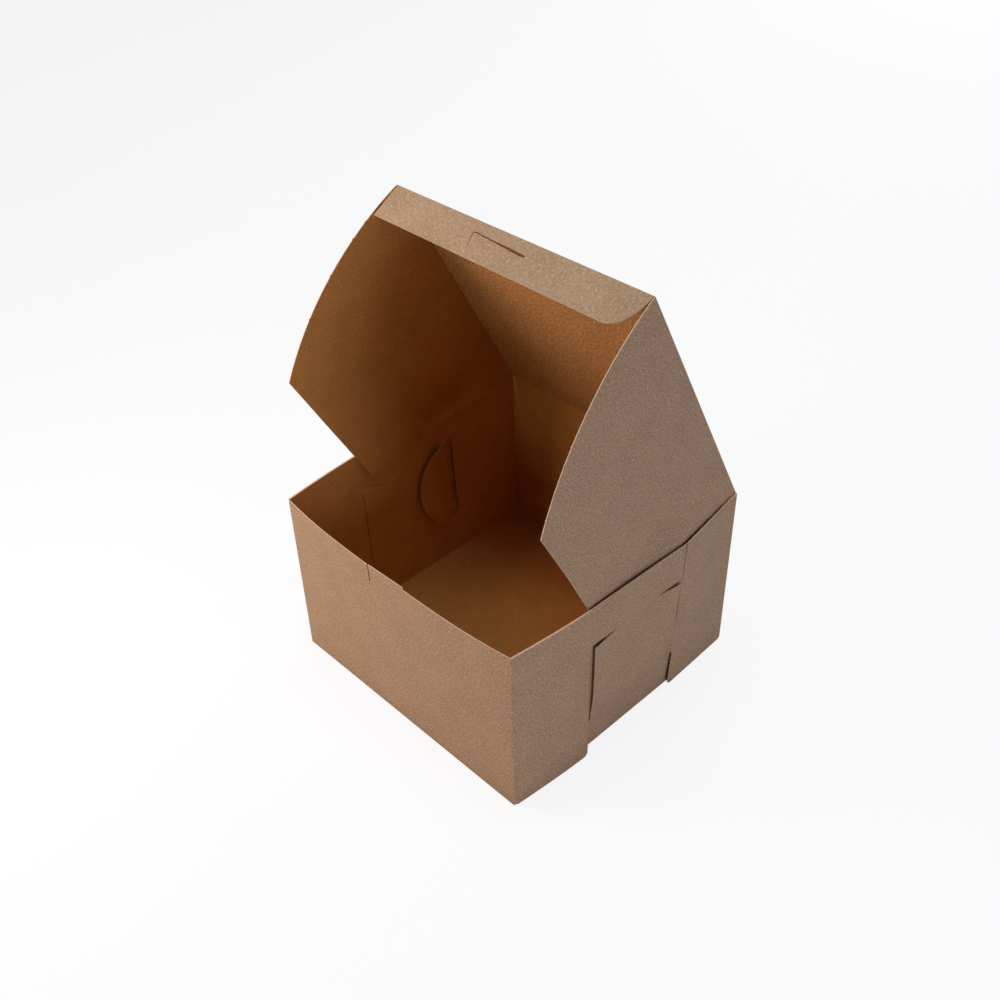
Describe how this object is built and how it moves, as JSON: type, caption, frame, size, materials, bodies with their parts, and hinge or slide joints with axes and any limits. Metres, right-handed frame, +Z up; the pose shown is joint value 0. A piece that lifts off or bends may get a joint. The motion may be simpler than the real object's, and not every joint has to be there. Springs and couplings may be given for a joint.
{
  "type": "kraft cake box",
  "caption": "Folded kraft board cake box: a square tray with slit-locked corners and a hinged lid with arc-edged side flaps and a tuck flap, standing open.",
  "frame": {"origin": "centre of the tray's underside, on the surface that it stands on", "axes": "+X right seen from the front, +Y to the back, where the lid is hinged, +Z up"},
  "size_m": [0.2208, 0.2093, 0.3081],
  "materials": {
    "kraft_board": "matte, fibrous"
  },
  "bodies": {
    "tray": {"tray": "kraft_board"},
    "lid": {"lid": "kraft_board"},
    "side_flap_left": {"side_flap_left": "kraft_board"},
    "side_flap_right": {"side_flap_right": "kraft_board"},
    "tuck_flap": {"tuck_flap": "kraft_board"}
  },
  "joints": [
    {"name": "lid_hinge", "type": "hinge", "parent": "tray", "child": "lid", "pos_m": [0, 0.10175, 0.12945], "axis": [-1, 0, 0], "range_deg": [-62, 118]},
    {"name": "side_flap_left_hinge", "type": "hinge", "parent": "lid", "child": "side_flap_left", "pos_m": [-0.10015, 0.10175, 0.12945], "axis": [0, 0.4695, -0.8829], "range_deg": [-6, 11.5]},
    {"name": "side_flap_right_hinge", "type": "hinge", "parent": "lid", "child": "side_flap_right", "pos_m": [0.10015, 0.10175, 0.12945], "axis": [0, -0.4695, 0.8829], "range_deg": [-6, 11.5]},
    {"name": "tuck_hinge", "type": "hinge", "parent": "lid", "child": "tuck_flap", "pos_m": [0, 0.00675, 0.30811], "axis": [-1, 0, 0], "range_deg": [-20, 107]}
  ],
  "couplings": [
    {"joint": "side_flap_left_hinge", "follows": "lid_hinge", "ratio": 0.09355},
    {"joint": "side_flap_right_hinge", "follows": "lid_hinge", "ratio": 0.09355}
  ]
}
